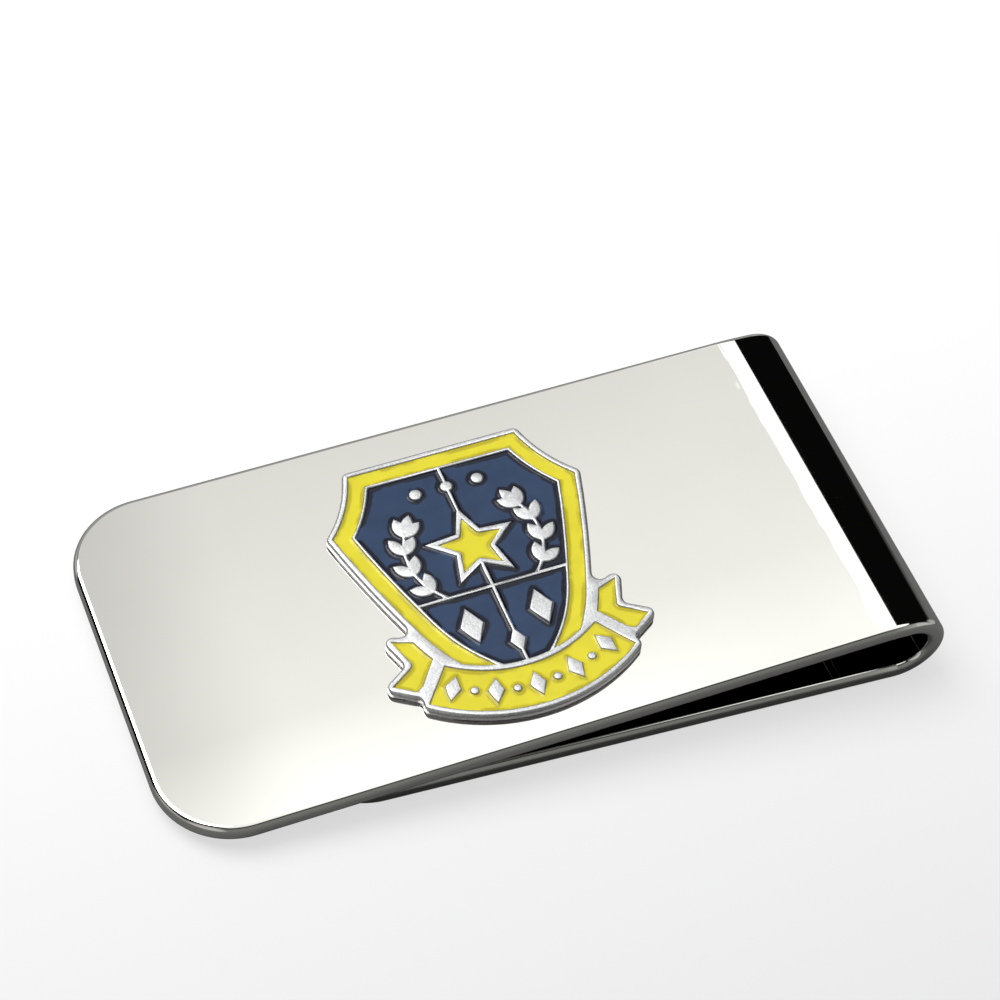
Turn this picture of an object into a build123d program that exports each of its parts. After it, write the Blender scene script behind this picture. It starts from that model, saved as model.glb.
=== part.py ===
from build123d import *
import os
from math import acos, atan2, cos, degrees, hypot, radians, sin

# Money clip: one springy metal strip, bent back on itself, with a die-struck enamel badge bonded
# to its front face. Lengths are in millimetres. +X runs towards the bend, +Y across the strip
# and +Z up. The origin is at mid-length and mid-width, on the plane that the rear arm lies on.

# Strip
clip_width = 25.4
strip_thickness = 1.2
edge_round = 0.4
face_length = 45.6        # flat front face, from its free end to the start of the bend
face_corner_radius = 5.0
lead_in_radius = 30.0     # outside radii of the bend, from the front face to the rear arm
lead_in_turn = 5.0
crown_radius = 2.8
foot_radius = 2.9
arm_reach = 37.2          # from the start of the bend to the arm's tip, along the front face
arm_tip_width = 24.0
arm_corner_radius = 5.0
rest_gap = 0.06           # left between the arm's tip and the front face when the clip is closed

# Badge
badge_centre_x = 24.1     # from the free end of the front face
badge_centre_y = -0.6
adhesive_thickness = 0.05
adhesive_margin = 0.5
badge_thickness = 0.55
pocket_depth = 0.27
enamel_thickness = 0.13
rim_width = 0.42          # raised outer rim, also around the ribbon
border_width = 1.0        # enamelled border inside the rim
line_width = 0.22         # raised lines between the colours
outline_round = 0.5

# Shield, from the badge's centre
shield_top = 10.4
shield_top_half = 6.0
ear_half = 8.65
ear_height = 5.8
shield_base = -9.6
side_bow = (7.26, 1.0)    # a point that each nearly straight upper side passes through
flank = (5.85, -3.0)      # where each upper side runs on into the curved base
shoulder_bow = (7.0, 7.9) # a point that each hollow shoulder passes through

# Ribbon
ribbon_centre_y = 1.5
ribbon_inner_radius = 8.2
ribbon_outer_radius = 11.9
ribbon_half_angle = 38.0
tail_outline = [(4.5, -3.5), (8.15, -2.1), (7.2, -4.7), (9.2, -5.95), (7.2, -7.2), (5.2, -6.0)]
lozenge_count = 5
lozenge_pitch = 15.0
lozenge_width = 1.1
lozenge_height = 1.9
bead_radius = 0.28

# Charge: a star between two leafy branches that rise from the level line across the shield, with
# three pellets above and three lozenges below
quartering_y = -0.9
charge_y = 2.4
star_radius = 3.1
star_waist = 1.4
star_outline = 0.36
branch_radius = 4.4
branch_end = 119.0
branch_width = 0.26
leaf_stations = [54, 76, 98, 116]
leaf_length = 1.6
leaf_width = 0.82
leaf_splay = 31.0
pellet_radius = 0.42
pellet_y = 7.3
pellet_pitch = 2.1
base_lozenge_y = -5.2
side_lozenge_place = (2.3, -3.3)
side_lozenge_size = 1.45  # times the base lozenge's

# The front face slopes down towards its free end, so that its underside meets the arm's tip. Its
# slope solves level * cos(slope) - span * sin(slope) = drop, the height of that meeting point.
lead_in_start = radians(90 - lead_in_turn)
level = (crown_radius - lead_in_radius) * sin(lead_in_start) + lead_in_radius - strip_thickness
span = arm_reach + (lead_in_radius - crown_radius) * cos(lead_in_start)
drop = strip_thickness + rest_gap - foot_radius
slope = degrees(acos(drop / hypot(level, span)) - atan2(span, level))
run = cos(radians(slope))
rise = sin(radians(slope))

# Centres of the bend's three arcs, first measured from the crown arc's centre
lead_in_outward = lead_in_start + radians(slope)
lead_in_dx = (crown_radius - lead_in_radius) * cos(lead_in_outward)
lead_in_dz = (crown_radius - lead_in_radius) * sin(lead_in_outward)
free_end_dx = lead_in_dx - lead_in_radius * rise - face_length * run
overall_length = crown_radius - free_end_dx - edge_round * (run + rise - 1)
bend_x = overall_length / 2
crown_centre = (bend_x - crown_radius, foot_radius)
foot_centre = (bend_x - foot_radius, foot_radius)
lead_in_centre = (crown_centre[0] + lead_in_dx, crown_centre[1] + lead_in_dz)

# Ends of the flat stretches: where the bend starts on the face's underside, and the arm's two ends
face_x = lead_in_centre[0] - (lead_in_radius - strip_thickness) * rise
face_z = lead_in_centre[1] + (lead_in_radius - strip_thickness) * run
foot_x = foot_centre[0]
tip_x = face_x - arm_reach * run

face_along = (run, 0, rise)
face_outward = (-rise, 0, run)
free_end = (face_x - face_length * run, 0, face_z - face_length * rise)
face_underside = Plane(origin=free_end, x_dir=face_along, z_dir=face_outward)
face_top = face_underside.offset(strip_thickness)
badge_spot = face_top.from_local_coords((badge_centre_x, badge_centre_y, 0))
badge_ground = Plane(origin=badge_spot, x_dir=face_along, z_dir=face_outward)
badge_underside = badge_ground.offset(adhesive_thickness)
pocket_floor = badge_underside.offset(badge_thickness - pocket_depth)


def broad_face_edges(blank, cut_x):
    """Edges around the two broad faces of a strip blank, except where it is cut at cut_x."""
    edges = blank.faces().sort_by(SortBy.AREA)[-2:].edges()
    return edges.filter_by(lambda edge: edge.center().X < cut_x - strip_thickness)


def strip_section(centre, radius, turned):
    """Plane of the strip's cross-section, where it has turned by this angle since the rear arm."""
    outward = radians(turned - 90)
    middle = radius - strip_thickness / 2
    spot = (centre[0] + middle * cos(outward), 0, centre[1] + middle * sin(outward))
    return Plane(origin=spot, x_dir=(0, 1, 0), z_dir=(-sin(outward), 0, cos(outward)))


def write(piece, name):
    """Label a finished piece and write it as a STEP file of the same name."""
    piece.label = name
    export_step(piece, f"parts/{name}.step")


# --- the strip: front face, bend and rear arm ---

with BuildPart() as front_plate:
    with BuildSketch(face_underside) as face_outline:
        Rectangle(face_length, clip_width, align=(Align.MIN, Align.CENTER))
        fillet(face_outline.vertices().sort_by(Axis.X)[:2], face_corner_radius)
    extrude(amount=strip_thickness)
    fillet(broad_face_edges(front_plate, face_x), edge_round)

with BuildPart() as rear_arm:
    with BuildSketch() as arm_outline:
        with BuildLine():
            Polyline(
                (foot_x, clip_width / 2),
                (tip_x, arm_tip_width / 2),
                (tip_x, -arm_tip_width / 2),
                (foot_x, -clip_width / 2),
                close=True,
            )
        make_face()
        fillet(arm_outline.vertices().sort_by(Axis.X)[:2], arm_corner_radius)
    extrude(amount=strip_thickness)
    fillet(broad_face_edges(rear_arm, foot_x), edge_round)

bend_arcs = [
    (foot_centre, foot_radius, 0, 90),
    (crown_centre, crown_radius, 90, 180 + slope - lead_in_turn),
    (lead_in_centre, lead_in_radius, 180 + slope - lead_in_turn, 180 + slope),
]

with BuildPart() as spring_loop:
    for centre, radius, turn_from, turn_to in bend_arcs:
        with BuildSketch(strip_section(centre, radius, turn_from)):
            RectangleRounded(clip_width, strip_thickness, edge_round)
        bend_axis = Axis((centre[0], 0, centre[1]), (0, -1, 0))
        revolve(axis=bend_axis, revolution_arc=turn_to - turn_from)

# --- badge outlines, drawn about the badge's centre ---

with BuildSketch() as shield:
    with BuildLine():
        Line((0, shield_top), (shield_top_half, shield_top))
        ThreePointArc((shield_top_half, shield_top), shoulder_bow, (ear_half, ear_height))
        upper_side = ThreePointArc((ear_half, ear_height), side_bow, flank)
        TangentArc(flank, (0, shield_base), tangent=upper_side % 1)
        mirror(about=Plane.YZ)
    make_face()

with BuildSketch() as ribbon:
    with Locations((0, ribbon_centre_y)):
        Circle(ribbon_outer_radius)
        Circle(ribbon_inner_radius, mode=Mode.SUBTRACT)
    with BuildLine():
        reach = 2 * ribbon_outer_radius
        half_chord = reach * sin(radians(ribbon_half_angle))
        depth = ribbon_centre_y - reach * cos(radians(ribbon_half_angle))
        Polyline((0, ribbon_centre_y), (half_chord, depth), (-half_chord, depth), close=True)
    make_face(mode=Mode.INTERSECT)

with BuildSketch() as tails:
    with BuildLine():
        Polyline(*tail_outline, close=True)
    make_face()
    mirror(about=Plane.YZ)

with BuildSketch() as hidden_by_shield_and_ribbon:
    add(shield.sketch)
    add(ribbon.sketch)

with BuildSketch() as free_tails:
    add(tails.sketch)
    add(hidden_by_shield_and_ribbon.sketch, mode=Mode.SUBTRACT)

with BuildSketch() as badge_outline:
    add(shield.sketch)
    add(ribbon.sketch)
    add(tails.sketch)
    for step in (-outline_round, 2 * outline_round, -outline_round):
        offset(amount=step, kind=Kind.ARC, mode=Mode.REPLACE)

with BuildSketch() as star:
    with BuildLine():
        Polyline(
            *[
                (
                    (star_waist if turn % 2 else star_radius) * sin(radians(36 * turn)),
                    charge_y + (star_waist if turn % 2 else star_radius) * cos(radians(36 * turn)),
                )
                for turn in range(10)
            ],
            close=True,
        )
    make_face()

with BuildSketch() as leaf:
    with BuildLine():
        ThreePointArc((0, 0), (leaf_length / 2, leaf_width / 2), (leaf_length, 0))
        ThreePointArc((0, 0), (leaf_length / 2, -leaf_width / 2), (leaf_length, 0))
    make_face()

with BuildSketch() as branches:
    branch_start = degrees(acos((charge_y - quartering_y) / branch_radius))
    with BuildLine():
        CenterArc((0, charge_y), branch_radius, branch_start - 90, branch_end - branch_start)
    trace(line_width=branch_width)
    leaves = [(station, splay) for station in leaf_stations for splay in (-leaf_splay, leaf_splay)]
    for station, splay in leaves + [(branch_end, 0)]:
        stem_x = branch_radius * sin(radians(station))
        stem_y = charge_y - branch_radius * cos(radians(station))
        with Locations(Location((stem_x, stem_y), station + splay)):
            add(leaf.sketch)
    mirror(about=Plane.YZ)

with BuildSketch() as quartering:
    Rectangle(line_width, 4 * shield_top)
    with Locations((0, quartering_y)):
        Rectangle(4 * ear_half, line_width)

with BuildSketch() as lozenge:
    with BuildLine():
        Polyline(
            (-lozenge_width / 2, 0),
            (0, lozenge_height / 2),
            (lozenge_width / 2, 0),
            (0, -lozenge_height / 2),
            close=True,
        )
    make_face()

with BuildSketch() as pellets:
    with Locations((0, pellet_y)):
        with GridLocations(pellet_pitch, 0, 3, 1):
            Circle(pellet_radius)
    with Locations((0, base_lozenge_y)):
        add(lozenge.sketch)
    with Locations(side_lozenge_place):
        add(scale(lozenge.sketch, by=side_lozenge_size, mode=Mode.PRIVATE))
    mirror(about=Plane.YZ)

with BuildSketch() as ribbon_marks:
    middle_radius = (ribbon_inner_radius + ribbon_outer_radius) / 2
    for mark in range(2 * lozenge_count - 1):
        turn = lozenge_pitch / 2 * (mark - lozenge_count + 1)
        mark_x = middle_radius * sin(radians(turn))
        mark_y = ribbon_centre_y - middle_radius * cos(radians(turn))
        with Locations(Location((mark_x, mark_y), turn)):
            if mark % 2:
                Circle(bead_radius)
            else:
                add(lozenge.sketch)

# --- the pockets that the enamels fill ---

with BuildSketch() as border_pocket:
    add(shield.sketch)
    offset(amount=-rim_width, mode=Mode.REPLACE)
    with BuildSketch(mode=Mode.SUBTRACT):
        add(shield.sketch)
        offset(amount=-rim_width - border_width, mode=Mode.REPLACE)
    add(ribbon.sketch, mode=Mode.SUBTRACT)

with BuildSketch() as field_pocket:
    add(shield.sketch)
    offset(amount=-rim_width - border_width - line_width, mode=Mode.REPLACE)
    for raised in (ribbon, quartering, star, branches, pellets):
        add(raised.sketch, mode=Mode.SUBTRACT)

with BuildSketch() as star_pocket:
    add(star.sketch)
    offset(amount=-star_outline, mode=Mode.REPLACE)

with BuildSketch() as ribbon_pocket:
    add(ribbon.sketch)
    offset(amount=-rim_width, mode=Mode.REPLACE)
    add(ribbon_marks.sketch, mode=Mode.SUBTRACT)

with BuildSketch() as tail_pocket:
    add(free_tails.sketch)
    offset(amount=-rim_width, mode=Mode.REPLACE)

# --- badge pieces ---

with BuildPart() as badge_adhesive:
    with BuildSketch(badge_ground):
        add(badge_outline.sketch)
        offset(amount=-adhesive_margin, mode=Mode.REPLACE)
    extrude(amount=adhesive_thickness)

with BuildPart() as badge_base:
    with BuildSketch(badge_underside):
        add(badge_outline.sketch)
    extrude(amount=badge_thickness)
    with BuildSketch(pocket_floor):
        for pocket in (border_pocket, field_pocket, star_pocket, ribbon_pocket, tail_pocket):
            add(pocket.sketch)
    extrude(amount=pocket_depth, mode=Mode.SUBTRACT)


def enamel(outline):
    """A layer of enamel on the floor of its pocket."""
    with BuildPart() as layer:
        with BuildSketch(pocket_floor):
            add(outline)
        extrude(amount=enamel_thickness)
    return layer.part


os.makedirs("parts", exist_ok=True)

write(front_plate.part, "front_plate")
write(spring_loop.part, "spring_loop")
write(rear_arm.part, "rear_arm")
write(badge_adhesive.part, "badge_adhesive")
write(badge_base.part, "badge_base")

write(enamel(border_pocket.sketch), "enamel_border")
write(enamel(star_pocket.sketch), "enamel_star")
write(enamel(ribbon_pocket.sketch), "enamel_ribbon")

for side, tail in zip(("left", "right"), tail_pocket.faces().sort_by(Axis.X), strict=True):
    write(enamel(tail), f"enamel_tail_{side}")

for half, cells in zip(("lower", "upper"), field_pocket.faces().group_by(Axis.Y), strict=True):
    for side, cell in zip(("left", "right"), cells.sort_by(Axis.X), strict=True):
        write(enamel(cell), f"enamel_field_{half}_{side}")
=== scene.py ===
from math import atan2, cos, pi, radians, sin

import bmesh
import bpy
import numpy as np
from mathutils import Matrix, Vector
from mathutils.geometry import delaunay_2d_cdt


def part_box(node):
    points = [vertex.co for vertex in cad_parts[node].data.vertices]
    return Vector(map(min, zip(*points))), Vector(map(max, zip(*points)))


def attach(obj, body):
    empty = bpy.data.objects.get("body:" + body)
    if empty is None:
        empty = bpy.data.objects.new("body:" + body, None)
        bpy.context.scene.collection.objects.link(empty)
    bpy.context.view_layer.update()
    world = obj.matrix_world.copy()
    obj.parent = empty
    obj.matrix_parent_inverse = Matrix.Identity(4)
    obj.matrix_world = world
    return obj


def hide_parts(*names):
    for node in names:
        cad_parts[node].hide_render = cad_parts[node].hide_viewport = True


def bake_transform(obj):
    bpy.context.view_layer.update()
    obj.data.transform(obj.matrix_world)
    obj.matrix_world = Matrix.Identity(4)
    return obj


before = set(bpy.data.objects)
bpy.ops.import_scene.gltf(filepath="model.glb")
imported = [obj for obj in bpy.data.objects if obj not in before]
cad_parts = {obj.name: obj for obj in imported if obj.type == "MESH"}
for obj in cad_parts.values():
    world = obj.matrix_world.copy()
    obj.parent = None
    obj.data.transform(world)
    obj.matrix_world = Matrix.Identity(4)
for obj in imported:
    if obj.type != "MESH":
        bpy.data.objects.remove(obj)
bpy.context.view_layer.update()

MM = 0.001
SIDEWAYS = Vector((0, 1, 0))
UP = Vector((0, 0, 1))

# The metal strip
THICKNESS = 1.2 * MM
EDGE_ROUND = 0.4 * MM
FACE_LENGTH = 45.6 * MM
FACE_CORNER = 5.0 * MM
LEAD_IN_RADIUS = 30.0 * MM
LEAD_IN_TURN = radians(5)
CROWN_RADIUS = 2.8 * MM
FOOT_RADIUS = 2.9 * MM
ARM_TIP_HALF = 12.0 * MM
ARM_CORNER = 5.0 * MM
EDGE_STEPS = 8
BEND_STEPS = 30
LEAD_IN_STEPS = 10
CORNER_STEPS = 28
FLAT_STEPS = 16
WORN_FROM = 0.2             # outward part of the normal, from which an edge counts as worn

# The badge: rounding of the metal's edges, and how the enamel creeps up the walls around it
RELIEF_ROUND = 0.40         # share of each wall's height
RELIEF_STEPS = 5
RELIEF_ROOM = 0.42          # share of a narrow line's width that each side's rounding may take
MENISCUS_CLIMB = 0.04 * MM
MENISCUS_REACH = 0.38 * MM
MENISCUS_CURVE = 2.5
MENISCUS_GRID = 0.07 * MM
INNER_GRID = 0.35 * MM
SHARPEST_MITRE = 0.35
AHEAD = 0.5                 # cosine of the widest angle that counts as straight ahead
OPEN_GROUND = 1.0           # clearance where nothing lies ahead
FLAT_WITHIN = 0.01 * MM
WELD = 0.001 * MM
SAME_POINT = 1e-6           # in millimetres
CRISP = radians(50)         # edges sharper than this stay crisp
STEEP = 0.1                 # upward part of the normal, below which a face is a wall

# The view: the camera looks at a point of the front face, from this direction
AIM_ALONG = 27.13 * MM
AIM_ACROSS = 4.93 * MM
CAMERA_DISTANCE = 177.94 * MM
CAMERA_AZIMUTH = radians(-30.88)
CAMERA_ELEVATION = radians(50.48)
CAMERA_ROLL = radians(11.97)
CAMERA_LENS = 100.33
SENSOR_WIDTH = 36.0
NEAREST_SEEN = 0.005
FURTHEST_SEEN = 20.0

# The setting
FLOOR_REACH = 3.0
KEY_SIZE = 0.45
KEY_ENERGY = 3.6
KEY_PLACE = (-0.22, 0.20, 0.48)

# Colours: a light and a dark one for each uneven surface
NICKEL = (0.72, 0.714, 0.668, 1), (0.695, 0.69, 0.645, 1)
SATIN_FACE = (0.64, 0.65, 0.645, 1), (0.34, 0.345, 0.35, 1)
# The badge's walls: a darker copy of the satin, which is painted shade
SATIN_SHADED_WALL = (0.42, 0.41, 0.43, 1), (0.22, 0.21, 0.23, 1)
# The enamels' dark colours: random clouding, and painted shade along the pocket walls
NAVY = (0.020, 0.043, 0.098, 1), (0.002, 0.003, 0.010, 1)
YELLOW = (0.64, 0.57, 0.024, 1), (0.40, 0.34, 0.012, 1)
CLEAR_FILM = (0.66, 0.66, 0.63, 1), (0.42, 0.42, 0.40, 1)
FLOOR_TINT = (0.21, 0.21, 0.21, 1), (0.19, 0.19, 0.192, 1)
FLOOR_GLOW = (0.80, 0.80, 0.80, 1), (0.47, 0.47, 0.472, 1)
FLOOR_MIRRORED = (0.12, 0.12, 0.122, 1)
BACKDROP = (0.93, 0.93, 0.93, 1)


# --- the strip's frame, read from the CAD ---

def face_normal(node):
    """Upward normal of a CAD node's largest flat."""
    flat = max(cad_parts[node].data.polygons, key=lambda polygon: polygon.area)
    return flat.normal.normalized() * (1 if flat.normal.z > 0 else -1)


def direction(angle):
    """Unit vector in the XZ plane, at this angle above +X."""
    return Vector((cos(angle), 0, sin(angle)))


FACE_UP = face_normal("front_plate")
FACE_ALONG = Vector((FACE_UP.z, 0, -FACE_UP.x))
SLOPE = atan2(FACE_ALONG.z, FACE_ALONG.x)
HALF_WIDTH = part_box("spring_loop")[1].y
BEND_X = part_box("spring_loop")[1].x
TIP_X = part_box("rear_arm")[0].x
FOOT_CENTRE = Vector((BEND_X - FOOT_RADIUS, 0, FOOT_RADIUS))
CROWN_CENTRE = Vector((BEND_X - CROWN_RADIUS, 0, FOOT_RADIUS))
LEAD_IN_START = pi / 2 + SLOPE - LEAD_IN_TURN
LEAD_IN_CENTRE = CROWN_CENTRE + direction(LEAD_IN_START) * (CROWN_RADIUS - LEAD_IN_RADIUS)
BEND_START = LEAD_IN_CENTRE + FACE_UP * LEAD_IN_RADIUS
FREE_END = BEND_START - FACE_ALONG * FACE_LENGTH


# --- meshes ---

def mesh_object(name, points, faces, normals=None):
    """A new smooth-shaded object, with a normal for each point if they are given."""
    mesh = bpy.data.meshes.new(name)
    mesh.from_pydata(points, [], faces)
    surface = bmesh.new()
    surface.from_mesh(mesh)
    bmesh.ops.recalc_face_normals(surface, faces=surface.faces)
    surface.to_mesh(mesh)
    surface.free()
    mesh.shade_smooth()
    if normals:
        mesh.normals_split_custom_set_from_vertices(normals)
    made = bpy.data.objects.new(name, mesh)
    bpy.context.scene.collection.objects.link(made)
    return made


def mark(piece, name, values):
    """Store a number from 0 to 1 at each point, for the materials to read."""
    attribute = piece.data.attributes.new(name, "FLOAT", "POINT")
    attribute.data.foreach_set("value", values)


def edge_profile():
    """The strip's rounded edge, from its outer to its inner surface.

    Each entry is (inset, depth, outward part of the normal, part of the normal towards the depth).
    """
    quarter = []
    for step in range(EDGE_STEPS + 1):
        turn = pi / 2 * step / EDGE_STEPS
        quarter.append((
            EDGE_ROUND * (1 - sin(turn)),
            EDGE_ROUND * (1 - cos(turn)),
            sin(turn),
            -cos(turn),
        ))
    other = [(inset, THICKNESS - depth, out, -inward) for inset, depth, out, inward in quarter]
    return quarter + other[::-1]


PROFILE = edge_profile()
EDGE_WEAR = [0.0 if out < WORN_FROM else 1.0 for inset, depth, out, inward in PROFILE]


def end_outline(length, half_at_cut, half_at_end, corner):
    """Outline of a flat with a rounded end at x = 0 and a cut at x = length.

    Each entry is (x, y, outward normal x, outward normal y). It starts and ends at the cut.
    """
    taper = atan2(half_at_cut - half_at_end, length)
    side = Vector((-sin(taper), -cos(taper)))
    corner_y = -half_at_end + corner * (1 - sin(taper)) / cos(taper)
    corner_centre = Vector((corner, corner_y))
    cut = Vector((length, -half_at_cut))
    corner_start = corner_centre + side * corner
    half = [(cut, Vector((0, -1)))]
    for step in range(1, FLAT_STEPS):
        half.append((cut.lerp(corner_start, step / FLAT_STEPS), side))
    first_angle = atan2(side.y, side.x)
    for step in range(CORNER_STEPS + 1):
        angle = first_angle + (-pi - first_angle) * step / CORNER_STEPS
        normal = Vector((cos(angle), sin(angle)))
        half.append((corner_centre + normal * corner, normal))
    for share in (0.25, 0.5, 0.75):
        half.append((Vector((0, corner_y * (1 - share))), Vector((-1, 0))))
    near = [(point.x, point.y, normal.x, normal.y) for point, normal in half]
    far = [(x, -y, nx, -ny) for x, y, nx, ny in near]
    return near + far[::-1]


def flat_strip(name, origin, along, outward, outline):
    """A flat stretch of strip. Its outer surface is at the origin, facing outward."""
    points = []
    normals = []
    wear = []
    for x, y, nx, ny in outline:
        for (inset, depth, out, inward), worn in zip(PROFILE, EDGE_WEAR):
            flat = along * (x - nx * inset) + SIDEWAYS * (y - ny * inset)
            points.append(origin + flat - outward * depth)
            normals.append((along * nx + SIDEWAYS * ny) * out - outward * inward)
            wear.append(worn)
    count = len(outline)
    depth_count = len(PROFILE)

    def at(station, layer):
        """Number of the point at this station of the outline and this layer of the edge."""
        return station * depth_count + layer

    faces = []
    for station in range(count - 1):
        for layer in range(depth_count - 1):
            faces.append((
                at(station, layer),
                at(station + 1, layer),
                at(station + 1, layer + 1),
                at(station, layer + 1),
            ))
    for layer in (0, depth_count - 1):
        for station in range(count // 2 - 1):
            faces.append((
                at(station, layer),
                at(station + 1, layer),
                at(count - 2 - station, layer),
                at(count - 1 - station, layer),
            ))
    near_cut = [at(0, layer) for layer in range(depth_count)]
    far_cut = [at(count - 1, layer) for layer in range(depth_count)]
    faces.append(near_cut + far_cut[::-1])
    made = mesh_object(name, points, faces, normals)
    mark(made, "edge", wear)
    return made


def bend_stations():
    """Points along the bend's outer surface, from the arm to the face, each with its outward normal."""
    stations = []
    arcs = [
        (FOOT_CENTRE, FOOT_RADIUS, -pi / 2, 0.0, BEND_STEPS),
        (CROWN_CENTRE, CROWN_RADIUS, 0.0, LEAD_IN_START, BEND_STEPS),
        (LEAD_IN_CENTRE, LEAD_IN_RADIUS, LEAD_IN_START, LEAD_IN_START + LEAD_IN_TURN, LEAD_IN_STEPS),
    ]
    for centre, radius, start, end, steps in arcs:
        for step in range(0 if start < 0 else 1, steps + 1):
            outward = direction(start + (end - start) * step / steps)
            stations.append((centre + outward * radius, outward))
    return stations


def bent_strip(name):
    """The bend, swept along its stations."""
    ring = [(-HALF_WIDTH + inset, depth, -out, inward) for inset, depth, out, inward in PROFILE]
    ring += [(HALF_WIDTH - inset, depth, out, inward) for inset, depth, out, inward in PROFILE[::-1]]
    worn_ring = EDGE_WEAR + EDGE_WEAR[::-1]
    points = []
    normals = []
    wear = []
    stations = bend_stations()
    for place, outward in stations:
        for (y, depth, out, inward), worn in zip(ring, worn_ring):
            points.append(place + SIDEWAYS * y - outward * depth)
            normals.append(SIDEWAYS * out - outward * inward)
            wear.append(worn)
    size = len(ring)
    faces = []
    for station in range(len(stations) - 1):
        first = station * size
        for corner in range(size):
            following = (corner + 1) % size
            faces.append((
                first + corner,
                first + size + corner,
                first + size + following,
                first + following,
            ))
    faces.append(list(range(size)))
    faces.append(list(range(size * (len(stations) - 1), size * len(stations))))
    made = mesh_object(name, points, faces, normals)
    mark(made, "edge", wear)
    return made


def height(point):
    """Height of a point above the front face."""
    return (point - FREE_END).dot(FACE_UP)


def copied_bmesh(node):
    """The CAD node's own surface, with its points welded."""
    surface = bmesh.new()
    surface.from_mesh(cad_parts[node].data)
    bmesh.ops.remove_doubles(surface, verts=surface.verts, dist=WELD)
    return surface


def top_faces(surface):
    """The faces furthest above the front face."""
    highest = max(height(vertex.co) for vertex in surface.verts)
    return [
        face
        for face in surface.faces
        if all(highest - height(vertex.co) < FLAT_WITHIN for vertex in face.verts)
    ]


def wall_height(corner):
    """Height of the wall that stands below a corner."""
    lowest = min(height(other.co) for face in corner.link_faces for other in face.verts)
    return height(corner.co) - lowest


def clearances(corners, inward, border):
    """How far each corner of a flat region is, looking inward, from the border ahead of it."""
    starts = np.array([edge.verts[0].co for edge, across in border])
    spans = np.array([edge.verts[1].co for edge, across in border]) - starts
    lengths = (spans ** 2).sum(1)
    found = {}
    for corner in corners:
        here = np.array(corner.co)
        towards = np.array(inward[corner].normalized())
        share = np.clip(((here - starts) * spans).sum(1) / lengths, 0, 1)
        gaps = starts + spans * share[:, None] - here
        distances = np.linalg.norm(gaps, axis=1)
        ahead = (distances > WELD) & (gaps @ towards > AHEAD * distances)
        found[corner] = distances[ahead].min() if ahead.any() else OPEN_GROUND
    return found


def region_border(surface, region):
    """The edges around a flat region, each with its inward direction, and those at each corner."""
    border = []
    sides = {}
    for edge in surface.edges:
        within = [face for face in edge.link_faces if face in region]
        if len(within) == 1:
            start, end = edge.verts
            across = FACE_UP.cross(end.co - start.co).normalized()
            if across.dot(within[0].calc_center_median() - start.co) < 0:
                across.negate()
            border.append((edge, across))
            sides.setdefault(start, []).append(across)
            sides.setdefault(end, []).append(across)
    return border, sides


def shape_rim(surface, top, profile):
    """Give a flat region's border a profile, as rings at each (inset, height).

    Both are shares of the height of the wall below each corner.
    """
    border, sides = region_border(surface, set(top))
    mitre = {
        corner: (first[0] + first[-1]) / max(1 + first[0].dot(first[-1]), SHARPEST_MITRE)
        for corner, first in sides.items()
    }
    room = clearances(sides, mitre, border)
    walls = {corner: wall_height(corner) for corner in sides}
    rings = {}
    for corner, across in mitre.items():
        reach = profile[-1][0] * walls[corner]
        narrow = walls[corner] * min(1.0, RELIEF_ROOM * room[corner] / (reach * across.length))
        place = corner.co.copy()
        corner.co = place + FACE_UP * profile[0][1] * walls[corner]
        rings[corner] = [corner] + [
            surface.verts.new(place + across * inset * narrow + FACE_UP * rise * walls[corner])
            for inset, rise in profile[1:]
        ]
    for face in top:
        surface.faces.new([rings[corner][-1] if corner in rings else corner for corner in face.verts])
    for edge, across in border:
        first, second = (rings[corner] for corner in edge.verts)
        for layer in range(len(profile) - 1):
            surface.faces.new((first[layer], second[layer], second[layer + 1], first[layer + 1]))
    bmesh.ops.delete(surface, geom=top, context="FACES_ONLY")


def object_from(surface, name):
    """Turn a bmesh into a smooth-shaded object with crisp sharp edges."""
    mesh = bpy.data.meshes.new(name)
    bmesh.ops.recalc_face_normals(surface, faces=surface.faces)
    surface.to_mesh(mesh)
    surface.free()
    mesh.shade_smooth()
    mesh.set_sharp_from_angle(angle=CRISP)
    made = bpy.data.objects.new(name, mesh)
    bpy.context.scene.collection.objects.link(made)
    made.modifiers.new("even_shading", "WEIGHTED_NORMAL").keep_sharp = True
    return made


def struck_badge():
    """The badge's metal: the CAD's outlines, with its edges rounded over."""
    surface = copied_bmesh("badge_base")
    profile = []
    for step in range(RELIEF_STEPS + 1):
        turn = pi / 2 * step / RELIEF_STEPS
        profile.append((RELIEF_ROUND * (1 - cos(turn)), RELIEF_ROUND * (sin(turn) - 1)))
    shape_rim(surface, top_faces(surface), profile)
    made = object_from(surface, "badge_metal")
    # Wall faces get the second, darker satin: painted shade
    for polygon in made.data.polygons:
        if abs(polygon.normal.dot(FACE_UP)) < STEEP:
            polygon.material_index = 1
    return made


def distances_to(walls, points):
    """Distance of each point of the face from the nearest wall. Walls are (starts, ends)."""
    starts, ends = walls
    spans = ends - starts
    nearest = np.full(len(points), np.inf)
    for start, span in zip(starts, spans):
        share = np.clip((points - start) @ span / (span @ span), 0, 1)
        nearest = np.minimum(nearest, np.linalg.norm(points - start - share[:, None] * span, axis=1))
    return nearest


def inside(walls, points):
    """Whether each point of the face is enclosed by the walls."""
    starts, ends = walls
    crossings = np.zeros(len(points), int)
    for start, end in zip(starts, ends):
        level = (start[1] > points[:, 1]) != (end[1] > points[:, 1])
        rise = end[1] - start[1] if end[1] != start[1] else 1.0
        meets = start[0] + (points[:, 1] - start[1]) / rise * (end[0] - start[0])
        crossings += level & (points[:, 0] < meets)
    return crossings % 2 == 1


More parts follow.
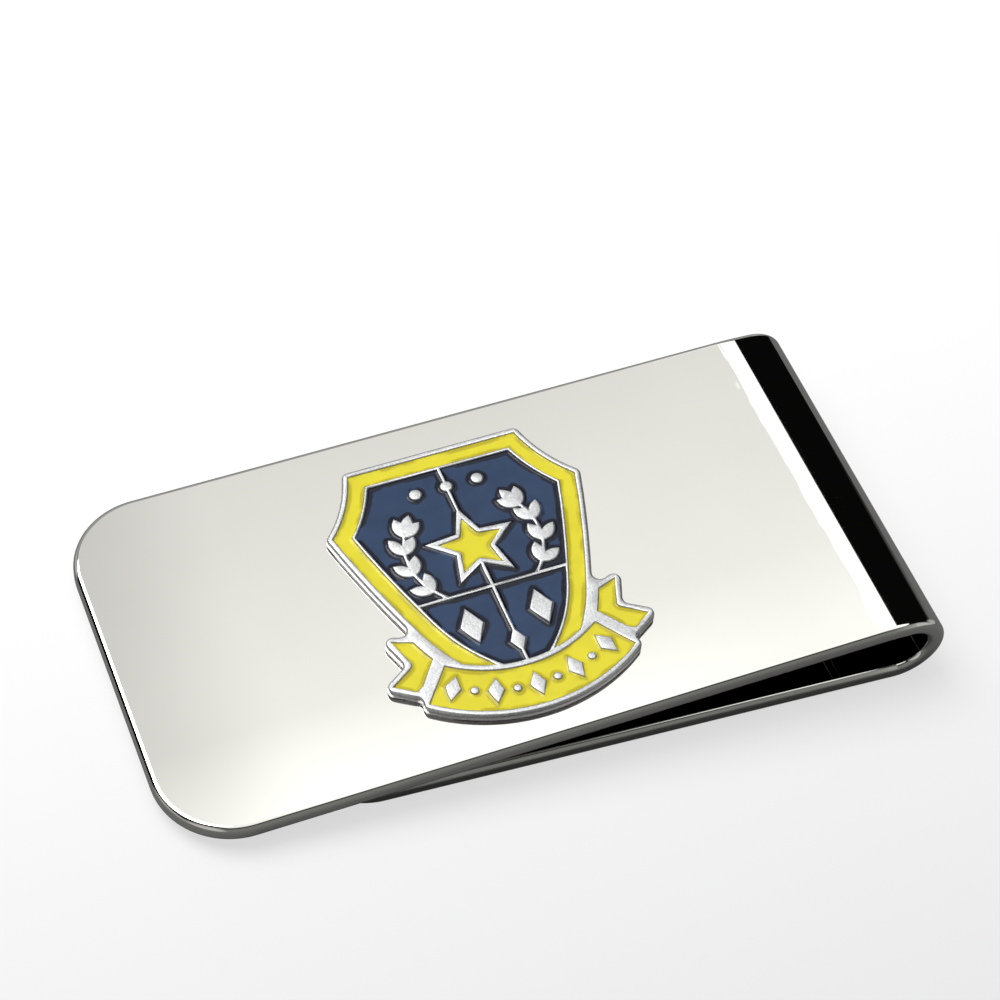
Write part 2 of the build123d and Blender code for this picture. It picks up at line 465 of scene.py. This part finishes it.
def grid_points(walls, spacing):
    """Points in staggered rows over the ground that the walls enclose."""
    low = walls[0].min(0)
    high = walls[0].max(0)
    rows = np.arange(low[1], high[1], spacing * sin(pi / 3))
    points = np.array([
        (x, y)
        for row, y in enumerate(rows)
        for x in np.arange(low[0] + row % 2 * spacing / 2, high[0], spacing)
    ])
    return points[inside(walls, points)]


def pocket_border(surface, region):
    """The corners around a flat region, their places on the face, and the links between them."""
    rim = [edge for edge in surface.edges if sum(face in region for face in edge.link_faces) == 1]
    corners = sorted({vertex for edge in rim for vertex in edge.verts}, key=lambda vertex: vertex.index)
    number = {vertex: index for index, vertex in enumerate(corners)}
    places = np.array([((v.co - FREE_END).dot(FACE_ALONG), v.co.y) for v in corners])
    links = [(number[edge.verts[0]], number[edge.verts[1]]) for edge in rim]
    return corners, places, links


def meniscus_mesh(flat, links, walls):
    """Points and triangles over a pocket, close together along its walls.

    The last list says which of the given points each point was made from. The first of those
    are the corners of the border, in the order of `flat`.
    """
    close = grid_points(walls, MENISCUS_GRID)
    away = distances_to(walls, close)
    close = close[(away > MENISCUS_GRID / 2) & (away < MENISCUS_REACH)]
    middle = grid_points(walls, INNER_GRID)
    middle = middle[distances_to(walls, middle) > MENISCUS_REACH]
    scattered = [Vector(place) for place in np.concatenate([flat, close, middle]) / MM]
    meshed = delaunay_2d_cdt(scattered, links, [], 0, SAME_POINT)
    places = np.array([tuple(place) for place in meshed[0]]) * MM
    centres = np.array([places[list(triangle)].mean(0) for triangle in meshed[2]])
    triangles = [triangle for triangle, kept in zip(meshed[2], inside(walls, centres)) if kept]
    return places, triangles, meshed[3]


def poured_enamel(node):
    """An enamel layer that creeps up the walls of its pocket."""
    surface = copied_bmesh(node)
    level = max(height(vertex.co) for vertex in surface.verts)
    top = top_faces(surface)
    corners, flat, links = pocket_border(surface, set(top))
    walls = (flat[[start for start, end in links]], flat[[end for start, end in links]])
    places, triangles, sources = meniscus_mesh(flat, links, walls)
    near_wall = 1 - np.minimum(distances_to(walls, places) / MENISCUS_REACH, 1)

    bmesh.ops.delete(surface, geom=top, context="FACES_ONLY")
    points = []
    for place, share, source in zip(places, near_wall, sources):
        climbed = FACE_UP * (level + MENISCUS_CLIMB * share ** MENISCUS_CURVE)
        target = FREE_END + FACE_ALONG * place[0] + SIDEWAYS * place[1] + climbed
        if source and source[0] < len(corners):
            corners[source[0]].co = target
            points.append(corners[source[0]])
        else:
            points.append(surface.verts.new(target))
    for triangle in triangles:
        surface.faces.new([points[index] for index in triangle])
    surface.verts.index_update()
    # How near each point is to the walls: the mask for the enamel's painted shade
    wall_shade_mask = np.zeros(len(surface.verts))
    for point, share in zip(points, near_wall):
        wall_shade_mask[point.index] = share
    made = object_from(surface, node + "_fill")
    mark(made, "wall_shade_mask", wall_shade_mask)
    return made


# --- materials ---

def add_node(tree, kind, inputs=None, **settings):
    """A new shader node. Inputs are values, or sockets to link from."""
    made = tree.nodes.new("ShaderNode" + kind)
    for key, value in settings.items():
        setattr(made, key, value)
    for key, value in (inputs or {}).items():
        if isinstance(value, bpy.types.NodeSocket):
            tree.links.new(value, made.inputs[key])
        else:
            made.inputs[key].default_value = value
    return made


def new_material(name):
    """A material with its tree, its shader and its object coordinates."""
    material = bpy.data.materials.new(name)
    material.use_nodes = True
    tree = material.node_tree
    return material, tree, tree.nodes["Principled BSDF"], add_node(tree, "TexCoord").outputs["Object"]


def noise(tree, vector, scale, detail=2.0, roughness=0.5):
    """Noise at this many periods per metre."""
    settings = {"Vector": vector, "Scale": scale, "Detail": detail, "Roughness": roughness}
    return add_node(tree, "TexNoise", settings).outputs["Fac"]


def remap(tree, value, low, high, to_low=0.0, to_high=1.0, smooth=False):
    """Map a range of values onto another, clamped."""
    settings = {"Value": value, "From Min": low, "From Max": high, "To Min": to_low, "To Max": to_high}
    kind = "SMOOTHSTEP" if smooth else "LINEAR"
    return add_node(tree, "MapRange", settings, interpolation_type=kind).outputs["Result"]


def maths(tree, operation, first, second=0.0):
    """One arithmetic step."""
    return add_node(tree, "Math", {0: first, 1: second}, operation=operation).outputs[0]


def product(tree, first, second):
    """Two values multiplied."""
    return maths(tree, "MULTIPLY", first, second)


def largest(tree, first, *others):
    """The largest of several values."""
    for other in others:
        first = maths(tree, "MAXIMUM", first, other)
    return first


def mix_colours(tree, factor, first, second):
    """A blend of two colours. The node's colour sockets are inputs 6 and 7 and output 2."""
    return add_node(tree, "Mix", {0: factor, 6: first, 7: second}, data_type="RGBA").outputs[2]


def bump(tree, height_value, distance):
    """A bump of this real height in metres."""
    inputs = {"Height": height_value, "Distance": distance, "Strength": 1.0}
    return add_node(tree, "Bump", inputs).outputs["Normal"]


def hairlines(tree, coordinates, turn, along, across):
    """Sparse fine scratches that run at this angle, as a mask."""
    turned = add_node(tree, "Mapping", {
        "Vector": coordinates,
        "Rotation": (0, 0, radians(turn)),
        "Scale": (along, across, across),
    }).outputs["Vector"]
    lines = remap(tree, noise(tree, turned, 1.0, 1.0), 0.66, 0.72)
    patches = remap(tree, noise(tree, coordinates, 130.0), 0.45, 0.62)
    return product(tree, lines, patches)


def polished_metal():
    """Mirror-polished nickel: hairlines, faint haze and a slight waviness."""
    light, dark = NICKEL
    material, tree, shader, coordinates = new_material("polished_strip")
    shader.inputs["Metallic"].default_value = 1.0
    haze = remap(tree, noise(tree, coordinates, 90.0, 4.0), 0.35, 0.75)
    tree.links.new(mix_colours(tree, haze, light, dark), shader.inputs["Base Color"])
    scratches = largest(
        tree,
        hairlines(tree, coordinates, 8.0, 110.0, 9000.0),
        hairlines(tree, coordinates, -21.0, 160.0, 11000.0),
    )
    edge = add_node(tree, "Attribute", attribute_name="edge").outputs["Fac"]
    edge_haze = product(tree, edge, remap(tree, noise(tree, coordinates, 900.0), 0.4, 0.8))
    dull = maths(tree, "ADD", product(tree, haze, 0.012), 0.012)
    dull = maths(tree, "ADD", dull, product(tree, scratches, 0.03))
    dull = maths(tree, "ADD", dull, product(tree, edge_haze, 0.10))
    tree.links.new(dull, shader.inputs["Roughness"])
    waves = bump(tree, noise(tree, coordinates, 110.0, 0.0), 0.006 * MM)
    tree.links.new(waves, shader.inputs["Normal"])
    return material


def satin_metal(name, colours, roughness):
    """Sandblasted die-struck metal: a fine grain, with brighter rubbed patches here and there.

    The badge's walls get a darker copy of it, which is painted shade.
    """
    light, dark = colours
    material, tree, shader, coordinates = new_material(name)
    shader.inputs["Metallic"].default_value = 1.0
    grain = noise(tree, coordinates, 7500.0, 3.0, 0.7)
    blotches = noise(tree, coordinates, 1600.0, 3.0)
    mottle = product(tree, remap(tree, grain, 0.3, 0.7), remap(tree, blotches, 0.2, 0.8, 0.6, 1.0))
    tint = mix_colours(tree, mottle, dark, light)
    tree.links.new(tint, shader.inputs["Base Color"])
    rough = remap(tree, blotches, 0.3, 0.7, roughness - 0.06, roughness + 0.06)
    tree.links.new(rough, shader.inputs["Roughness"])
    pitted = bump(tree, grain, 0.012 * MM)
    tree.links.new(pitted, shader.inputs["Normal"])
    return material


def enamel_material(name, colours, full):
    """Glossy soft enamel with a faint orange peel, and painted shade that darkens it towards the walls.

    The painted shade is full where the wall shade mask has reached the value `full`.
    """
    body, deep = colours
    material, tree, shader, coordinates = new_material(name)
    wall_shade_mask = add_node(tree, "Attribute", attribute_name="wall_shade_mask").outputs["Fac"]
    cloud = noise(tree, coordinates, 700.0, 3.0)
    clouded = mix_colours(tree, remap(tree, cloud, 0.3, 0.7, 0.0, 0.22), body, deep)
    uneven = remap(tree, noise(tree, coordinates, 480.0, 3.0), 0.35, 0.65, 0.15, 1.7)
    # Painted shade: darker towards the walls, in a band of uneven width
    painted_wall_shade = remap(tree, product(tree, wall_shade_mask, uneven), 0.25 * full, full, 0.0, 0.95, True)
    tint = mix_colours(tree, painted_wall_shade, clouded, deep)
    tree.links.new(tint, shader.inputs["Base Color"])
    shader.inputs["IOR"].default_value = 1.45
    shader.inputs["Specular IOR Level"].default_value = 0.3
    dull = remap(tree, noise(tree, coordinates, 2600.0, 2.0), 0.3, 0.7, 0.10, 0.2)
    tree.links.new(dull, shader.inputs["Roughness"])
    peel = bump(tree, noise(tree, coordinates, 500.0, 1.0), 0.02 * MM)
    tree.links.new(peel, shader.inputs["Normal"])
    return material


def adhesive_material():
    """A clear bonding film seen edge-on, slightly uneven."""
    light, dark = CLEAR_FILM
    material, tree, shader, coordinates = new_material("bonding_layer")
    cloud = noise(tree, coordinates, 1500.0, 3.0)
    tint = mix_colours(tree, cloud, dark, light)
    tree.links.new(tint, shader.inputs["Base Color"])
    tree.links.new(remap(tree, cloud, 0.3, 0.7, 0.30, 0.50), shader.inputs["Roughness"])
    tree.links.new(bump(tree, cloud, 0.01 * MM), shader.inputs["Normal"])
    return material


def floor_material():
    """A plain pale studio sweep, a little lighter towards the back and darker in mirrors."""
    material, tree, shader, coordinates = new_material("pale_floor")
    across = add_node(tree, "SeparateXYZ", {0: coordinates})
    back = remap(tree, across.outputs["Y"], -0.09, 0.06, smooth=True)
    tint = mix_colours(tree, back, FLOOR_TINT[1], FLOOR_TINT[0])
    glow = mix_colours(tree, back, FLOOR_GLOW[1], FLOOR_GLOW[0])
    path = add_node(tree, "LightPath")
    seen_tint = mix_colours(tree, path.outputs["Is Glossy Ray"], tint, FLOOR_MIRRORED)
    tree.links.new(seen_tint, shader.inputs["Base Color"])
    tree.links.new(glow, shader.inputs["Emission Color"])
    tree.links.new(path.outputs["Is Camera Ray"], shader.inputs["Emission Strength"])
    shader.inputs["Roughness"].default_value = 0.85
    return material


# --- the pieces ---

def finish_piece(piece, materials):
    """Give a piece its materials."""
    for material in materials:
        piece.data.materials.append(material)


def add_strip():
    """The front face, the bend and the rear arm."""
    metal = polished_metal()
    face = flat_strip(
        "front_face",
        FREE_END,
        FACE_ALONG,
        FACE_UP,
        end_outline(FACE_LENGTH, HALF_WIDTH, HALF_WIDTH, FACE_CORNER),
    )
    arm = flat_strip(
        "back_arm",
        Vector((TIP_X, 0, 0)),
        Vector((1, 0, 0)),
        -UP,
        end_outline(FOOT_CENTRE.x - TIP_X, HALF_WIDTH, ARM_TIP_HALF, ARM_CORNER),
    )
    bend = bent_strip("bend")
    for piece in (face, arm, bend):
        finish_piece(piece, [metal])
    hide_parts("front_plate")
    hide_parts("rear_arm")
    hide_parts("spring_loop")
    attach(face, "face_side")
    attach(arm, "arm_side")
    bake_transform(bend)


def add_badge():
    """The badge's metal, its enamels and the layer that bonds it to the face."""
    satin = satin_metal("satin_badge", SATIN_FACE, 0.42)
    # The walls' darker satin is painted shade
    sides = satin_metal("badge_sides_painted_shade", SATIN_SHADED_WALL, 0.34)
    badge = struck_badge()
    finish_piece(badge, [satin, sides])
    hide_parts("badge_base")
    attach(badge, "face_side")
    # Each enamel is darkened towards its walls as painted shade, the navy over a wider band
    navy = enamel_material("navy_enamel", NAVY, 0.30)
    yellow = enamel_material("yellow_enamel", YELLOW, 0.85)
    for node in sorted(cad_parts):
        if node.startswith("enamel"):
            dark = "field" in node
            layer = poured_enamel(node)
            finish_piece(layer, [navy if dark else yellow])
            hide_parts(node)
            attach(layer, "face_side")
    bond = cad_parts["badge_adhesive"]
    bond.data.materials.clear()
    bond.data.materials.append(adhesive_material())


# --- the setting ---

def add_floor():
    """A plain floor, which isn't part of the object."""
    corners = [(x * FLOOR_REACH, y * FLOOR_REACH, 0) for x, y in ((-1, -1), (1, -1), (1, 1), (-1, 1))]
    floor = mesh_object("floor", corners, [(0, 1, 2, 3)])
    floor.data.materials.append(floor_material())


def panel_light(tree, towards, right, back):
    """Light of the overhead panel: whiter to the front and the right, with a ragged right-hand edge."""
    light = remap(tree, back, 0.60, 0.74, 1.20, 0.98)
    front = product(
        tree,
        remap(tree, back, 0.60, 0.555, 0.0, 0.40),
        remap(tree, right, 0.20, 0.34, 1.0, 0.5, True),
    )
    light = maths(tree, "ADD", light, front)
    light = product(tree, light, remap(tree, right, 0.045, 0.12, 0.79, 1.0, True))
    light = largest(tree, light, remap(tree, right, -0.10, -0.15, 0.0, 1.4))
    ragged = noise(tree, towards, 70.0, 3.0, 0.6)
    panel_edge = maths(tree, "ADD", right, remap(tree, ragged, 0.3, 0.7, -0.018, 0.018))
    light = largest(tree, light, remap(tree, panel_edge, 0.370, 0.378, 0.0, 1.7))
    for value, outside, within in (
        (right, 0.478, 0.472),
        (right, -0.29, -0.23),
        (back, -0.50, -0.15),
        (back, 1.60, 0.85),
    ):
        light = product(tree, light, remap(tree, value, outside, within, smooth=True))
    return light


def wall_light(tree, x, y):
    """Light of the dim walls. The four corners and the two ends of the room are lighter."""
    back_wall = remap(tree, y, 0.55, 0.85, 0.0, 0.42, True)
    front_wall = remap(tree, y, -0.45, -0.75, 0.0, 0.22, True)
    sideways = maths(tree, "ABSOLUTE", x)
    corners = product(
        tree,
        remap(tree, sideways, 0.28, 0.55, smooth=True),
        largest(
            tree,
            remap(tree, y, -0.15, -0.50, 0.0, 0.62, True),
            remap(tree, y, 0.585, 0.69, 0.0, 0.58, True),
        ),
    )
    ends = remap(tree, sideways, 0.85, 0.95, 0.0, 0.5, True)
    return largest(tree, back_wall, front_wall, corners, ends)


def studio_world():
    """A pale overhead panel over dimmer walls, which the camera sees as a plain pale backdrop."""
    world = bpy.data.worlds.new("studio")
    bpy.context.scene.world = world
    world.use_nodes = True
    tree = world.node_tree
    towards = add_node(tree, "TexCoord").outputs["Generated"]
    x, y, z = add_node(tree, "SeparateXYZ", {0: towards}).outputs
    up = maths(tree, "MAXIMUM", z, 0.02)
    right = maths(tree, "DIVIDE", x, up)
    back = maths(tree, "DIVIDE", y, up)
    light = largest(tree, panel_light(tree, towards, right, back), wall_light(tree, x, y))
    light = maths(tree, "ADD", light, 0.003)
    grey = add_node(tree, "CombineColor", {0: light, 1: light, 2: light}).outputs[0]
    seen = add_node(tree, "LightPath").outputs["Is Camera Ray"]
    shade = mix_colours(tree, seen, grey, BACKDROP)
    tree.links.new(shade, tree.nodes["Background"].inputs["Color"])


def add_key_light():
    """A large soft light from behind on the left."""
    lamp = bpy.data.lights.new("key", "AREA")
    lamp.shape = "DISK"
    lamp.size = KEY_SIZE
    lamp.energy = KEY_ENERGY
    holder = bpy.data.objects.new("key", lamp)
    holder.location = KEY_PLACE
    holder.rotation_euler = (-Vector(holder.location)).to_track_quat("-Z", "Y").to_euler()
    bpy.context.scene.collection.objects.link(holder)


def add_camera():
    """The camera, turned about its own axis as well as aimed."""
    forward = Vector((
        -sin(CAMERA_AZIMUTH) * cos(CAMERA_ELEVATION),
        cos(CAMERA_AZIMUTH) * cos(CAMERA_ELEVATION),
        -sin(CAMERA_ELEVATION),
    ))
    level = forward.cross(UP).normalized()
    right = level * cos(CAMERA_ROLL) + level.cross(forward) * sin(CAMERA_ROLL)
    above = right.cross(forward)
    aim = FREE_END + FACE_ALONG * AIM_ALONG + SIDEWAYS * AIM_ACROSS
    place = Matrix((right, above, -forward)).transposed().to_4x4()
    place.translation = aim - forward * CAMERA_DISTANCE
    lens = bpy.data.cameras.new("camera")
    lens.lens = CAMERA_LENS
    lens.sensor_width = SENSOR_WIDTH
    lens.clip_start = NEAREST_SEEN
    lens.clip_end = FURTHEST_SEEN
    holder = bpy.data.objects.new("camera", lens)
    holder.matrix_world = place
    bpy.context.scene.collection.objects.link(holder)
    bpy.context.scene.camera = holder


add_camera()
add_strip()
add_badge()
add_floor()
studio_world()
add_key_light()
bpy.context.scene.view_settings.view_transform = "Standard"
